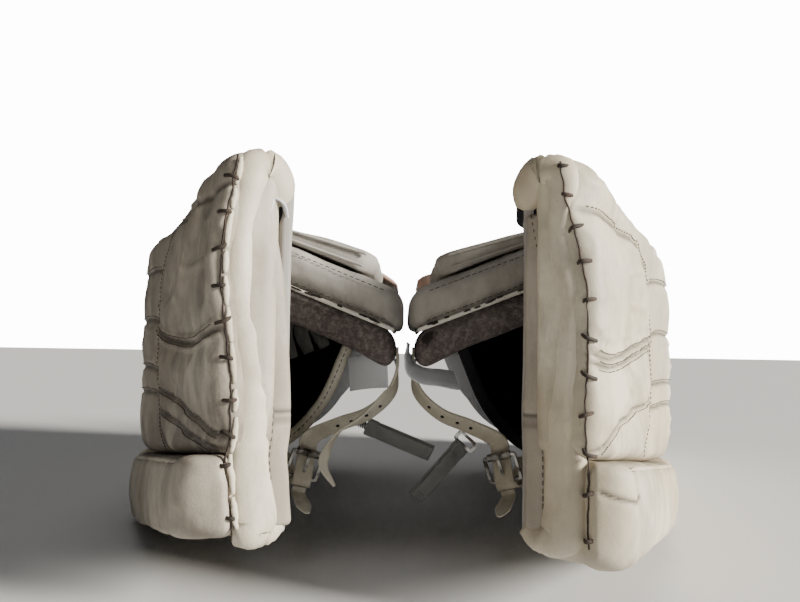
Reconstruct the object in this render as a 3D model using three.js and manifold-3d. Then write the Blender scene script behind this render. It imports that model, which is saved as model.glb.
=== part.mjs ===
// A pair of ice-hockey goalkeeper's leg pads, stored together on their outer edges.
// Units are millimetres. X runs across the pair, with the mirror plane at x = 0, Y runs from the
// thigh end to the toe, and Z is up. Each pad is drawn at +X and the left one is mirrored.
import * as THREE from "three";
import { mergeVertices } from "three/addons/utils/BufferGeometryUtils.js";
import Module from "manifold-3d";

const wasm = await Module();
wasm.setup();

// Driving dimensions
const padWidth = 318; // from the edge on the floor to the edge on top
const thighEndNarrowing = 50; // how much the rise's floor edge is cut up at the thigh end
const rollTopNarrowing = 41; // the same for the top of the outer roll
const riseLength = 285; // thigh rise, along its back
const riseAngle = THREE.MathUtils.degToRad(27);
const riseThickness = 57;
const shinLength = 385;
const shinThickness = 75;
const bootLength = 205;
const bootAngle = THREE.MathUtils.degToRad(28);
const thighEndOffset = 86; // mirror plane to the rise's back edge at the thigh end
const backThickness = 10;
const outerRollHeight = 74;
const outerRollDepth = 82; // back of the pad to the front of the outer roll
const kneeRollPitch = 47;
const kneeRollCount = 3;
const kneeRollRound = 17;
const edgeRound = 8;
const fittingsLift = 42; // wing, wraps, straps and buckle, all drawn from one base height
const gap = 0.3;
const trimDepth = 250; // deeper than any section

const endRollDepth = 14; // how far the rolled binding stands off the thigh end
const endRollWidth = 20;
const endPanelDepth = 9;
const seamWidth = 4.8; // groove that the laced seam lies in
const faceLip = 6; // the face leather's turn over the thigh end
const laceCount = 11;
const laceRadius = 2.2;
const pipingRadius = 1.9;

const wingNear = 110; // knee wing, along Y
const wingFar = 290;
const wingTipX = 4.5;
const wingTipTop = 197;
const wingAngle = THREE.MathUtils.degToRad(21.5);
const wingThickness = 34;
const suedeThickness = 19; // the lower pad, faced in suede
const wingRootGap = 6; // room for the root to turn in
const flapLength = 100;
const flapThickness = 11;
const flapAngle = THREE.MathUtils.degToRad(15.5);
const flapInset = 7; // flap ends to wing ends
const flapRootX = 125;

const wrapNear = 200; // calf wraps, along Y
const wrapFar = 560;
const wrapThickness = 9;
const medialWrapClearance = 6; // from the knee wing, along Y
const bindingDepth = 6;
const loopClearance = 4.5; // nylon loop to the wing's underside
const loopToWrap = 8.4; // nylon loop to the top end of the lateral wrap
const linerThickness = 5.5;
const linerLow = 90;
const linerHigh = 294;

const strapWidth = 19;
const strapThickness = 3;
const buckleWidth = 34; // outside, along the bars
const buckleLength = 28;
const buckleWire = 3.4;
const rollerWall = 1;
const rollerLength = 23;
const turnClearance = 0.35;
const prongRadius = 1.4;
const prongWall = 1.3;
const prongRingLength = 5;
const prongHoleRadius = 3.4;
const chapeWall = 2.2;
const hookStrapLength = 70;
const hookStrapWidth = 22;
const hookStrapThickness = 5;

// Lines that every section follows
const kneeSlope = Math.tan(riseAngle / 2);
const ankleSlope = Math.tan(bootAngle / 2);
const shinX = thighEndOffset + riseLength * Math.sin(riseAngle);
const kneeY = riseLength * Math.cos(riseAngle);
const ankleY = kneeY + shinLength;

function backX(y) {
  return y < kneeY ? thighEndOffset + y * Math.tan(riseAngle) : shinX;
}

// Solids from closed geometries, and back
function solid(geometry) {
  const bare = geometry.index ? geometry.toNonIndexed() : geometry.clone();
  bare.deleteAttribute("normal");
  bare.deleteAttribute("uv");
  const merged = mergeVertices(bare, 1e-4);
  return new wasm.Manifold(
    new wasm.Mesh({
      numProp: 3,
      vertProperties: merged.attributes.position.array,
      triVerts: new Uint32Array(merged.index.array),
    }),
  );
}

function geometryOf(shape) {
  const mesh = shape.getMesh();
  const geometry = new THREE.BufferGeometry();
  geometry.setAttribute("position", new THREE.BufferAttribute(mesh.vertProperties, 3));
  geometry.setIndex(new THREE.BufferAttribute(mesh.triVerts, 1));
  geometry.computeVertexNormals();
  return geometry;
}

// A closed outline, with each corner rounded by its own radius or by one radius for all
function outline(points, radius = 0) {
  const shape = new THREE.Shape();
  const corners = points.map(([x, y]) => new THREE.Vector2(x, y));
  corners.forEach((corner, i) => {
    const before = corners[(i + corners.length - 1) % corners.length];
    const after = corners[(i + 1) % corners.length];
    const r = Array.isArray(radius) ? radius[i] : radius;
    const into = corner.clone().add(before.clone().sub(corner).setLength(r));
    const out = corner.clone().add(after.clone().sub(corner).setLength(r));
    if (i === 0) shape.moveTo(into.x, into.y);
    else shape.lineTo(into.x, into.y);
    if (r > 0) shape.quadraticCurveTo(corner.x, corner.y, out.x, out.y);
  });
  shape.closePath();
  return shape;
}

// An outline in X and Y raised from low to high, its rims softened by a bevel inside the outline
function upright(shape, low, high, round = 0) {
  const geometry = new THREE.ExtrudeGeometry(shape, {
    depth: high - low - 2 * round,
    curveSegments: 4,
    bevelEnabled: round > 0,
    bevelThickness: round,
    bevelSize: round,
    bevelOffset: -round,
    bevelSegments: 2,
  });
  return geometry.translate(0, 0, low + round);
}

// An upright plan trimmed by a side view, an outline in Y and Z
function trimmed(plan, sideView) {
  const block = new THREE.ExtrudeGeometry(sideView, {
    depth: trimDepth,
    curveSegments: 5,
    bevelEnabled: false,
  });
  block.rotateX(Math.PI / 2).rotateZ(Math.PI / 2).translate(-trimDepth / 5, 0, 0);
  return geometryOf(solid(upright(plan, -1, padWidth + 1)).intersect(solid(block)));
}

// An outline in X and Z carried along Y from near to far
function lengthwise(shape, near, far) {
  const geometry = new THREE.ExtrudeGeometry(shape, {
    depth: far - near,
    curveSegments: 5,
    bevelEnabled: false,
  });
  return geometry.rotateX(Math.PI / 2).translate(0, far, 0);
}

// The outline of a curved sheet: a smooth line through points, thickened to both sides
function sheetOutline(points, thickness, steps = 14) {
  const curve = new THREE.SplineCurve(points.map(([x, z]) => new THREE.Vector2(x, z)));
  const sides = [[], []];
  for (let i = 0; i <= steps; i++) {
    const at = curve.getPoint(i / steps);
    const along = curve.getTangent(i / steps);
    const across = new THREE.Vector2(-along.y, along.x).multiplyScalar(thickness / 2);
    sides[0].push(at.clone().add(across));
    sides[1].unshift(at.clone().sub(across));
  }
  return new THREE.Shape([...sides[0], ...sides[1]]);
}

// A strap: a flat section carried along a smooth line, its width turning from one direction to another
function strap(points, widths, width, thickness, steps = 20) {
  const stations = points.map((p) => new THREE.Vector3(...p));
  const spine = new THREE.CatmullRomCurve3(stations, false, "centripetal");
  const turn = new THREE.CatmullRomCurve3(widths.map((p) => new THREE.Vector3(...p)));
  const position = [];
  const index = [];
  for (let i = 0; i <= steps; i++) {
    const at = spine.getPoint(i / steps);
    const along = spine.getTangent(i / steps);
    const wide = turn.getPoint(i / steps);
    wide.addScaledVector(along, -wide.dot(along)).setLength(width / 2);
    const thick = new THREE.Vector3().crossVectors(along, wide).setLength(thickness / 2);
    for (const [a, b] of [[1, 1], [-1, 1], [-1, -1], [1, -1]]) {
      const corner = at.clone().addScaledVector(wide, a).addScaledVector(thick, b);
      position.push(corner.x, corner.y, corner.z);
    }
  }
  for (let i = 0; i < steps; i++) {
    for (let j = 0; j < 4; j++) {
      const a = 4 * i + j;
      const b = 4 * i + ((j + 1) % 4);
      index.push(a, a + 4, b, b, a + 4, b + 4);
    }
  }
  const last = 4 * steps;
  index.push(0, 1, 2, 0, 2, 3);
  index.push(last, last + 2, last + 1, last, last + 3, last + 2);
  const geometry = new THREE.BufferGeometry();
  geometry.setAttribute("position", new THREE.BufferAttribute(new Float32Array(position), 3));
  geometry.setIndex(index);
  geometry.computeVertexNormals();
  return solid(geometry).volume() > 0 ? geometry : flipped(geometry);
}

function flipped(geometry) {
  const index = geometry.index.array;
  for (let i = 0; i < index.length; i += 3) {
    [index[i + 1], index[i + 2]] = [index[i + 2], index[i + 1]];
  }
  geometry.computeVertexNormals();
  return geometry;
}

// A hollow or solid turned piece around its own X axis, centred on the origin
function turned(inner, outer, length, sides = 14) {
  const half = length / 2;
  const corners = [[inner, -half], [outer, -half], [outer, half], [inner, half], [inner, -half]];
  const profile = corners.map(([r, y]) => new THREE.Vector2(r, y));
  return new THREE.LatheGeometry(profile, sides).rotateZ(Math.PI / 2);
}

function finish(color, roughness, metalness = 0) {
  return new THREE.MeshStandardMaterial({ color, roughness, metalness });
}

const whiteLeather = finish(0xdedad2, 0.55);
const greyLeather = finish(0x9c9690, 0.6);
const suede = finish(0x6f6862, 0.95);
const strapLeather = finish(0xd0c8ba, 0.6);
const tanLeather = finish(0xb49a86, 0.6);
const liner = finish(0x17171a, 0.9);
const nylon = finish(0xc6cbd6, 0.7);
const lace = finish(0x3a302a, 0.8);
const webbing = finish(0x7d7d7f, 0.8);
const nickel = finish(0x8b8a88, 0.35, 1);

// One pad. Its pieces are drawn for the side at +X.
// Only a bound pad keeps its wrap's edge binding and its thin strap.
function makePad(side, { hook, bound }) {
  const pad = new THREE.Group();

  function piece(name, geometry, material, parent = pad) {
    const mesh = new THREE.Mesh(geometry, material);
    mesh.name = `${side}_${name}`;
    parent.add(mesh);
    return mesh;
  }

  // Thigh rise: local X is away from the leg, local Y runs up to the knee
  const rise = new THREE.Group();
  rise.position.set(thighEndOffset, 0, 0);
  rise.rotation.z = -riseAngle;
  pad.add(rise);
  const riseEnd = (n) => riseLength + n * kneeSlope - gap;
  const front = backThickness + gap;
  const seamInner = riseThickness - faceLip - seamWidth;
  const lip = riseThickness - faceLip;
  const faceStart = 2 - endRollDepth;
  const risePlan = (depthStart, depthEnd) => [
    [front, gap],
    [lip, gap],
    [lip, faceStart],
    [depthStart, faceStart],
    [depthEnd, riseEnd(depthEnd)],
    [front, riseEnd(front)],
  ];
  const faceLow = outerRollHeight + gap;
  const toKnee = (t) => THREE.MathUtils.clamp(1 - t / riseLength, 0, 1.1);
  const lowEdge = (t) => thighEndNarrowing * toKnee(t);
  const rollTop = (t) => outerRollHeight + rollTopNarrowing * toKnee(t);
  const nearEnd = -30;
  const kneeEnd = riseLength + 40;
  const band = (low, high) =>
    outline([
      [nearEnd, low(nearEnd)],
      [riseLength, low(riseLength)],
      [kneeEnd, low(kneeEnd)],
      [kneeEnd, high(kneeEnd)],
      [riseLength, high(riseLength)],
      [nearEnd, high(nearEnd)],
    ]);
  const topEdge = (inset) => () => padWidth - inset;
  const faceBand = band((t) => rollTop(t) + gap, topEdge(0));
  const facePlan = outline(risePlan(riseThickness, shinThickness));
  piece("rise_face", trimmed(facePlan, faceBand), whiteLeather, rise);
  const rollPlan = outline(risePlan(outerRollDepth, outerRollDepth));
  piece("rise_outer_roll", trimmed(rollPlan, band(lowEdge, rollTop)), whiteLeather, rise);
  const riseBack = outline([
    [0, gap],
    [backThickness, gap],
    [backThickness, riseEnd(backThickness)],
    [0, riseEnd(0)],
  ]);
  const backBand = band((t) => lowEdge(t) + 5, topEdge(2));
  piece("rise_back", trimmed(riseBack, backBand), greyLeather, rise);
  const rollInner = seamInner - endRollWidth;
  const endLow = thighEndNarrowing + 4;
  const endStrip = (inner, outer, depth, radius) =>
    outline([[inner, -depth], [outer, -depth], [outer, -gap], [inner, -gap]], radius);
  const endRoll = endStrip(rollInner, seamInner, endRollDepth, 5);
  piece("rise_end_roll", upright(endRoll, endLow, padWidth - 4, 3), whiteLeather, rise);
  const endPanel = endStrip(0, rollInner - gap, endPanelDepth, 4);
  piece("rise_end_panel", upright(endPanel, endLow, padWidth - 4, 2), strapLeather, rise);

  // Laced seam: a piping in the groove with lace turns over it
  const seamMiddle = lip - seamWidth / 2;
  const pipingY = -endRollDepth - 0.4;
  const seamLow = endLow + 8;
  const seamHigh = padWidth - 10;
  const seamLength = seamHigh - seamLow;
  const piping = new THREE.CylinderGeometry(pipingRadius, pipingRadius, seamLength, 8);
  piping.rotateX(Math.PI / 2).translate(seamMiddle, pipingY, seamLow + seamLength / 2);
  let seam = solid(piping);
  for (let i = 0; i < laceCount; i++) {
    const z = seamLow + 10 + ((seamLength - 20) * i) / (laceCount - 1);
    const turn = new THREE.BoxGeometry(seamWidth + 7, 2.6, 2 * laceRadius);
    seam = seam.add(solid(turn.translate(seamMiddle, -endRollDepth - gap - 1.3, z)));
  }
  piece("rise_lacing", geometryOf(seam), lace, rise);

  // Knee and shin: local X is away from the leg, local Y starts at the knee break
  const shin = new THREE.Group();
  shin.position.set(shinX, kneeY, 0);
  pad.add(shin);
  const shinStart = (n) => gap - n * kneeSlope;
  const shinEnd = (n) => shinLength - n * ankleSlope - gap;
  for (let i = 0; i < kneeRollCount; i++) {
    const near = (n) => (i === 0 ? shinStart(n) : i * kneeRollPitch + gap);
    const far = (i + 1) * kneeRollPitch - gap;
    const crown = shinThickness + 3;
    const corners = [[front, near(front)], [crown, near(crown)], [crown, far], [front, far]];
    const roll = outline(corners, [0, kneeRollRound, kneeRollRound, 0]);
    piece(`knee_roll_${i + 1}`, upright(roll, faceLow, padWidth - 3, 5), whiteLeather, shin);
  }
  const shinNear = kneeRollCount * kneeRollPitch + gap;
  const section = (a, b, radius = 0, start = shinStart) =>
    outline([[a, start(a)], [b, start(b)], [b, shinEnd(b)], [a, shinEnd(a)]], radius);
  const shinFace = section(front, shinThickness, [0, 12, 12, 0], () => shinNear);
  piece("shin_face", upright(shinFace, faceLow, padWidth - 2, edgeRound), whiteLeather, shin);
  piece("shin_back", upright(section(0, backThickness), 5, padWidth - 2, 2), greyLeather, shin);
  const shinRoll = upright(section(front, outerRollDepth), 0, outerRollHeight, 3);
  piece("shin_outer_roll", shinRoll, whiteLeather, shin);
  const linerNear = wingFar + 2 - kneeY;
  const linerFar = shinLength - 40;
  const linerBack = -gap - linerThickness;
  const linerPlan = outline([
    [linerBack, linerNear],
    [-gap, linerNear],
    [-gap, linerFar],
    [linerBack, linerFar],
  ]);
  piece("channel_liner", upright(linerPlan, linerLow, linerHigh, 1), liner, shin);

  // Boot: the pad below the ankle, turned forwards, with a rounded toe
  const boot = new THREE.Group();
  boot.position.set(shinX, ankleY, 0);
  boot.rotation.z = -bootAngle;
  pad.add(boot);
  const bootStart = (n) => gap + n * ankleSlope;
  const toe = outline(
    [
      [-60, 0],
      [bootLength - 50, 0],
      [bootLength, 60],
      [bootLength, padWidth - 90],
      [bootLength - 55, padWidth],
      [-60, padWidth],
    ],
    [0, 30, 25, 30, 35, 0],
  );
  const pastToe = bootLength + 5;
  const bootPlan = (a, b, tip) =>
    outline([[a, bootStart(a)], [b, bootStart(b)], [b - tip, pastToe], [a, pastToe]]);
  const bootPart = (a, b, tip) => trimmed(bootPlan(a, b, tip), toe);
  piece("boot_face", bootPart(front, shinThickness, 18), whiteLeather, boot);
  piece("boot_back", bootPart(0, backThickness, 0), greyLeather, boot);

  // Everything on the leg side stands on one base height
  const fittings = new THREE.Group();
  fittings.position.z = fittingsLift;
  pad.add(fittings);

  // Knee wing: a slab sloping down from the upper edge to the mirror plane
  const slope = Math.tan(wingAngle);
  const wingTop = (x) => wingTipTop + (x - wingTipX) * slope;
  const tall = wingThickness / Math.cos(wingAngle);
  const thin = suedeThickness / Math.cos(wingAngle);
  const slab = (x0, x1, top, bottom, round) =>
    outline(
      [
        [x0, wingTop(x0) - bottom],
        [x1, wingTop(x1) - bottom],
        [x1, wingTop(x1) - top],
        [x0, wingTop(x0) - top],
      ],
      round,
    );
  const wingPlan = upright(
    outline(
      [
        [wingTipX, wingNear],
        [backX(wingNear) - wingRootGap / Math.cos(riseAngle), wingNear],
        [shinX - wingRootGap, kneeY],
        [shinX - wingRootGap, wingFar],
        [wingTipX, wingFar],
      ],
      [14, 0, 0, 0, 14],
    ),
    0,
    padWidth - fittingsLift - 5,
  );
  const wingSection = slab(wingTipX - 1, shinX, 0, tall, [12, 0, 0, 9]);
  const wingBody = lengthwise(wingSection, wingNear - 1, wingFar + 1);
  piece("knee_wing", geometryOf(solid(wingBody).intersect(solid(wingPlan))), greyLeather, fittings);
  const suedeSection = slab(wingTipX + 9, shinX, tall + gap, tall + thin, 0);
  const under = lengthwise(suedeSection, wingNear - 1, wingFar + 1);
  piece("knee_wing_suede", geometryOf(solid(under).intersect(solid(wingPlan))), suede, fittings);

  // Flap on the wing, hinged at its root
  const flap = new THREE.Group();
  flap.position.set(flapRootX, 0, wingTop(flapRootX) + gap);
  flap.rotation.y = -flapAngle;
  fittings.add(flap);
  const flapNear = wingNear + flapInset;
  const flapFar = wingFar - flapInset;
  const flapPlan = outline(
    [[-flapLength, flapNear], [0, flapNear], [0, flapFar], [-flapLength, flapFar]],
    [28, 5, 5, 28],
  );
  piece("wing_flap", upright(flapPlan, 0, flapThickness, 3), greyLeather, flap);

  // Calf wraps on both sides of the leg channel
  const medialLine = [[shinX - 7, 262], [shinX - 100, 258], [12, 238]];
  const medialNear = wingFar + medialWrapClearance;
  const medialSection = sheetOutline(medialLine, wrapThickness, 6);
  piece("medial_wrap", lengthwise(medialSection, medialNear, wrapFar), tanLeather, fittings);
  const underWing = (x) => [x, wingTop(x) - tall - thin - loopClearance];
  const wrapTopX = 60;
  const wrapTop = [wrapTopX, underWing(wrapTopX)[1] - loopToWrap];
  const lateralLine = [[shinX - 7, 40], [165, 37], [120, 54], [85, 92], wrapTop];
  const wrapCut = outline([
    [0, wrapNear - 5],
    [backX(wrapNear) - 10, wrapNear - 5],
    [shinX - 6, kneeY + 4],
    [shinX - 6, wrapFar + 5],
    [0, wrapFar + 5],
  ]);
  const wrapBody = solid(lengthwise(sheetOutline(lateralLine, wrapThickness, 16), wrapNear, wrapFar));
  const wrapShape = wrapBody.intersect(solid(upright(wrapCut, 0, padWidth)));
  piece("lateral_wrap", geometryOf(wrapShape), nylon, fittings);
  if (bound) {
    const bindingLine = [[128, 48], [105, 68], [85, 92], [70, 120], wrapTop];
    const bindingSection = sheetOutline(bindingLine, wrapThickness + 2, 8);
    const bindingFar = wrapNear - gap;
    const binding = lengthwise(bindingSection, bindingFar - bindingDepth, bindingFar);
    piece("wrap_binding", binding, strapLeather, fittings);
  }
  const loopLine = [underWing(62), underWing(36), underWing(13), [8, 124], [15, 104]];
  const loopSection = sheetOutline(loopLine, 2.5, 12);
  piece("nylon_loop", lengthwise(loopSection, wrapNear - 17, wrapNear + 5), nylon, fittings);

  // Buckle: its own axes are X along the bars, Y along the strap and Z towards the thigh end
  const strapLine = new THREE.Vector3(0.3, 0, -0.954).normalize();
  const facing = new THREE.Vector3(-0.35, -0.9, 0);
  facing.addScaledVector(strapLine, -facing.dot(strapLine)).normalize();
  const bars = new THREE.Vector3().crossVectors(strapLine, facing);
  const buckle = new THREE.Group();
  buckle.position.set(97, 165, 33);
  buckle.quaternion.setFromRotationMatrix(new THREE.Matrix4().makeBasis(bars, strapLine, facing));
  fittings.add(buckle);
  const place = (along, out) =>
    buckle.position.clone().addScaledVector(strapLine, along).addScaledVector(facing, out).toArray();
  const barAt = buckleLength / 2 - buckleWire / 2;
  const rectangle = (w, l) => [
    [-w / 2, -l / 2],
    [w / 2, -l / 2],
    [w / 2, l / 2],
    [-w / 2, l / 2],
  ];
  const frameShape = outline(rectangle(buckleWidth, buckleLength), 4);
  const inside = 2 * buckleWire;
  frameShape.holes.push(outline(rectangle(buckleWidth - inside, buckleLength - inside), 1.5));
  piece("buckle_frame", upright(frameShape, -buckleWire / 2, buckleWire / 2, 0.6), nickel, buckle);
  const holeRadius = (buckleWire / 2) * Math.SQRT2 + turnClearance;
  const tube = turned(holeRadius, holeRadius + rollerWall, rollerLength);
  const roller = piece("buckle_roller", tube, nickel, buckle);
  roller.position.y = -barAt;
  const ring = solid(turned(holeRadius, holeRadius + prongWall, prongRingLength));
  const reach = 2 * barAt + 1;
  const rootHeight = holeRadius + 0.5;
  const tipHeight = holeRadius + rollerWall + prongRadius + 0.4;
  const arch = (rootHeight + tipHeight) / 2 + 0.6;
  const rod = strap(
    [[0, -1.5, rootHeight], [0, -reach / 2, arch], [0, -reach, tipHeight]],
    [[1, 0, 0], [1, 0, 0], [1, 0, 0]],
    2 * prongRadius,
    2 * prongRadius,
    6,
  );
  const prong = piece("buckle_prong", geometryOf(ring.add(solid(rod))), nickel, buckle);
  prong.position.y = barAt;

  // Chape: the short strap folded round the buckle's bar, with a notch for the prong
  const chapeOuter = holeRadius + chapeWall;
  buckle.updateMatrix();
  const fold = turned(holeRadius, chapeOuter, strapWidth, 12).translate(0, barAt, 0);
  fold.applyMatrix4(buckle.matrix);
  const notchWidth = prongRingLength + 1.5;
  const notch = new THREE.BoxGeometry(notchWidth, 30, 30).translate(0, barAt - 9, 0);
  notch.applyMatrix4(buckle.matrix);
  const chapeRun = strap(
    [place(barAt + chapeOuter - 0.6, -0.5), [106, 174, 13], [116, 188, 17], [128, 207, 37]],
    [bars.toArray(), bars.toArray(), [-0.8, 0.6, 0], [-0.8, 0.5, -0.2]],
    strapWidth,
    strapThickness,
    10,
  );
  const chape = solid(fold).add(solid(chapeRun)).subtract(solid(notch));
  piece("chape", geometryOf(chape), strapLeather, fittings);

  // Knee strap: from the middle, round the outside of the wrap, behind the roller and out over the bar
  const behind = -(holeRadius + rollerWall + strapThickness / 2 + 1.9);
  const over = chapeOuter + strapThickness / 2 + 0.9;
  const across = [0, 1, 0];
  const run = strap(
    [
      [8, 169.5, 150],
      [8, 169.5, 128],
      [14, 169, 104],
      [36, 168.5, 84],
      [64, 169, 73],
      place(-27, behind),
      place(-barAt, behind),
      place(0, 0),
      place(barAt, over),
      place(barAt + 6, over),
    ],
    [...Array(4).fill(across), [-0.3, 0.9, 0], ...Array(4).fill(bars.toArray())],
    strapWidth,
    strapThickness,
    44,
  );
  const prongHole = new THREE.CylinderGeometry(prongHoleRadius, prongHoleRadius, 26, 10);
  prongHole.rotateX(Math.PI / 2).applyMatrix4(buckle.matrix);
  const slot = strapLine.clone().multiplyScalar(3.2);
  let strapSolid = solid(run);
  for (const step of [0, 1, 2, 3]) {
    const hole = prongHole.clone().translate(slot.x * step, slot.y * step, slot.z * step);
    strapSolid = strapSolid.subtract(solid(hole));
  }
  piece("knee_strap", geometryOf(strapSolid), strapLeather, fittings);
  const tail = strap(
    [place(barAt + 7.2, over), place(barAt + 13, over + 2), [94, 132, 5], [84, 100, 3]],
    [bars.toArray(), bars.toArray(), [-1, 0, -0.1], [-1, 0, 0]],
    strapWidth - 5,
    strapThickness,
    10,
  );
  piece("strap_tail", tail, strapLeather, fittings);
  if (bound) {
    const thinStrap = strap(
      [[20, 148, 108], [44, 146, 82], [70, 146, 63], [66, 136, 36], [56, 128, 12]],
      [[0, 1, 0], [0, 1, 0], [-0.3, 1, 0], [-0.8, 0.6, 0], [-1, 0.2, 0]],
      strapWidth - 7,
      2,
      18,
    );
    piece("thin_strap", thinStrap, strapLeather, fittings);
  }

  // Hook strap: doubled webbing that swings from its head, and what it hangs from
  const hanging = new THREE.Group();
  hanging.position.set(hook.x, hook.y, hook.z);
  hanging.rotation.y = hook.turn;
  fittings.add(hanging);
  const half = hookStrapWidth / 2;
  const webPlan = outline(
    [[0, half], [-hookStrapLength, half], [-hookStrapLength, -half], [0, -half]],
    [3, 2, 2, 3],
  );
  const web = lengthwise(webPlan, -hookStrapThickness / 2, hookStrapThickness / 2);
  piece("hook_strap", web, webbing, hanging);
  if (hook.spring) {
    const ridges = [[0, 0]];
    for (let i = 0; i < 8; i++) {
      const turn = 2.6 * i;
      ridges.push([4.4, turn + 0.3], [4.4, turn + 1.8], [3.4, turn + 2.2]);
    }
    ridges.push([0, 20.9]);
    const coil = new THREE.LatheGeometry(ridges.map(([r, y]) => new THREE.Vector2(r, y)), 12);
    piece("hook_spring", coil.rotateZ(-Math.PI / 2).translate(1, 0, 0), nickel, hanging);
  } else {
    const loop = outline(rectangle(12, 24), 4);
    loop.holes.push(outline(rectangle(6, 17), 2));
    piece("hook_loop", lengthwise(loop, -1.5, 1.5).translate(6.6, 0, 0), nickel, hanging);
  }
  return pad;
}

const pair = new THREE.Group();
const leftHook = { x: 36, y: 189.5, z: 68, turn: -0.38, spring: true };
const rightHook = { x: 58, y: 184, z: 51, turn: -0.85, spring: false };
const left = makePad("left", { hook: leftHook, bound: true });
left.scale.x = -1;
pair.add(left);
pair.add(makePad("right", { hook: rightHook, bound: false }));

// The origin lies under the middle of the pair's own length
const overall = new THREE.Box3().setFromObject(pair, true);
pair.position.y = -(overall.min.y + overall.max.y) / 2;

export default pair;
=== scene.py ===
"""Looks for a pair of ice-hockey goalkeeper's leg pads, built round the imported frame.

Shapes are written in millimetres on the right pad (+X), Y from the thigh end, and mirrored for the left.
"""

import math

import bpy
import numpy as np
from mathutils import Matrix, Vector


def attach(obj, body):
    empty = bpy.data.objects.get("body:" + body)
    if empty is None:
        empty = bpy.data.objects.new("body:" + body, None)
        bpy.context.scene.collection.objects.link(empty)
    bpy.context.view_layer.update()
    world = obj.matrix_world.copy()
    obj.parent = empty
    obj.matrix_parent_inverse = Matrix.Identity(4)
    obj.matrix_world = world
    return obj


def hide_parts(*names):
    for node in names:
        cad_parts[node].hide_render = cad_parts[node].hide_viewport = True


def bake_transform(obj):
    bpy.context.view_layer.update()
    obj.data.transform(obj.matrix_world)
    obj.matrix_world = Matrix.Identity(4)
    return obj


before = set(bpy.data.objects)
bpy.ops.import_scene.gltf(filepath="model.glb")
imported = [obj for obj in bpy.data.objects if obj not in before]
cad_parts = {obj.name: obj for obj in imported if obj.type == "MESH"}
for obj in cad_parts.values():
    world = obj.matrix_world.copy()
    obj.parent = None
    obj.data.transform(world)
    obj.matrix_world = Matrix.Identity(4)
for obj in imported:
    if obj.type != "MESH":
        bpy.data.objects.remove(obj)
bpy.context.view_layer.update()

ORIGIN_Y = 386.011  # from the thigh end to the frame's origin
RISE_ANGLE = math.radians(27)
BOOT_ANGLE = math.radians(28)
RISE = 285
SHIN = 385
BOOT = 205
THIGH_X = 86
SHIN_X = THIGH_X + RISE * math.sin(RISE_ANGLE)
KNEE_Y = RISE * math.cos(RISE_ANGLE)
ANKLE_Y = KNEE_Y + SHIN
WIDTH = 318
WING_ANGLE = math.radians(21.5)
KNEE_MITRE = math.tan(RISE_ANGLE / 2)
ANKLE_MITRE = math.tan(BOOT_ANGLE / 2)
STEP = 3.2
SEED = {"left": 4, "right": 5}


# ---- shapes
def noise(points, size, seed):
    table = np.random.default_rng(seed).uniform(-1, 1, 4096)
    p = np.asarray(points, float) / size + 11.7
    cell = np.floor(p).astype(np.int64)
    f = p - cell
    f = f * f * (3 - 2 * f)
    total = np.zeros(len(p))
    for corner in np.ndindex(2, 2, 2):
        c = cell + corner
        key = (c[:, 0] * 73856093 ^ c[:, 1] * 19349663 ^ c[:, 2] * 83492791) % 4096
        total += np.prod(np.where(corner, f, 1 - f), axis=1) * table[key]
    return total


def step(x, lo, hi):
    t = np.clip((np.asarray(x, float) - lo) / (hi - lo), 0, 1)
    return t * t * (3 - 2 * t)


def bump(x, middle, width):
    return np.exp(-(((np.asarray(x, float) - middle) / width) ** 2))


def smooth(points, count):
    """A Catmull-Rom line through points, resampled at count even steps."""
    p = np.array(points, float)
    p = np.vstack([2 * p[0] - p[1], p, 2 * p[-1] - p[-2]])
    fine = []
    for i in range(1, len(p) - 2):
        for t in np.linspace(0, 1, 24, endpoint=False):
            a, b, c, d = p[i - 1 : i + 3]
            square, cube = 2 * a - 5 * b + 4 * c - d, 3 * b - a - 3 * c + d
            fine.append(0.5 * (2 * b + (c - a) * t + square * t**2 + cube * t**3))
    fine.append(p[-2])
    fine = np.array(fine)
    run = np.concatenate([[0], np.cumsum(np.linalg.norm(np.diff(fine, axis=0), axis=1))])
    at = np.linspace(0, run[-1], count)
    return np.stack([np.interp(at, run, fine[:, k]) for k in range(fine.shape[1])], 1)


def ticks(lo, hi, r, pitch):
    edge = r * (1 - np.cos(np.linspace(0, math.pi / 2, 6)))
    inner = np.linspace(lo + r, hi - r, max(2, int((hi - lo - 2 * r) / pitch) + 1))
    return np.concatenate([lo + edge[:-1], inner, (hi - edge[:-1])[::-1]])


def quad_faces(ids):
    """The quads of a grid of point numbers."""
    corners = [ids[:-1, :-1], ids[1:, :-1], ids[1:, 1:], ids[:-1, 1:]]
    return np.stack(corners, -1).reshape(-1, 4)


def block(lo, hi, r, pitch=STEP):
    """A box with rounded edges as a fine lattice: its points, outward directions and quads."""
    lo, hi = np.array(lo, float), np.array(hi, float)
    axes = [ticks(lo[i], hi[i], r, pitch) for i in range(3)]
    count = [len(a) for a in axes]
    skin = np.zeros(count, bool)
    skin[[0, -1], :, :] = True
    skin[:, [0, -1], :] = True
    skin[:, :, [0, -1]] = True
    index = np.argwhere(skin)
    ids = np.full(count, -1)
    ids[skin] = np.arange(len(index))
    points = np.stack([axes[i][index[:, i]] for i in range(3)], 1)
    core = np.clip(points, lo + r, hi - r)
    out = points - core
    out /= np.linalg.norm(out, axis=1)[:, None]
    faces = []
    for axis in range(3):
        for end in (0, -1):
            side = np.take(ids, end, axis=axis)
            quads = quad_faces(side)
            faces.append(quads if (end == -1) != (axis == 1) else quads[:, ::-1])
    return core + r * out, out, np.vstack(faces).tolist()


def round_section(a, b, sides=12):
    turn = np.linspace(0, 2 * math.pi, sides, endpoint=False)
    return np.stack([a * np.cos(turn), b * np.sin(turn)], 1)


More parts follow.
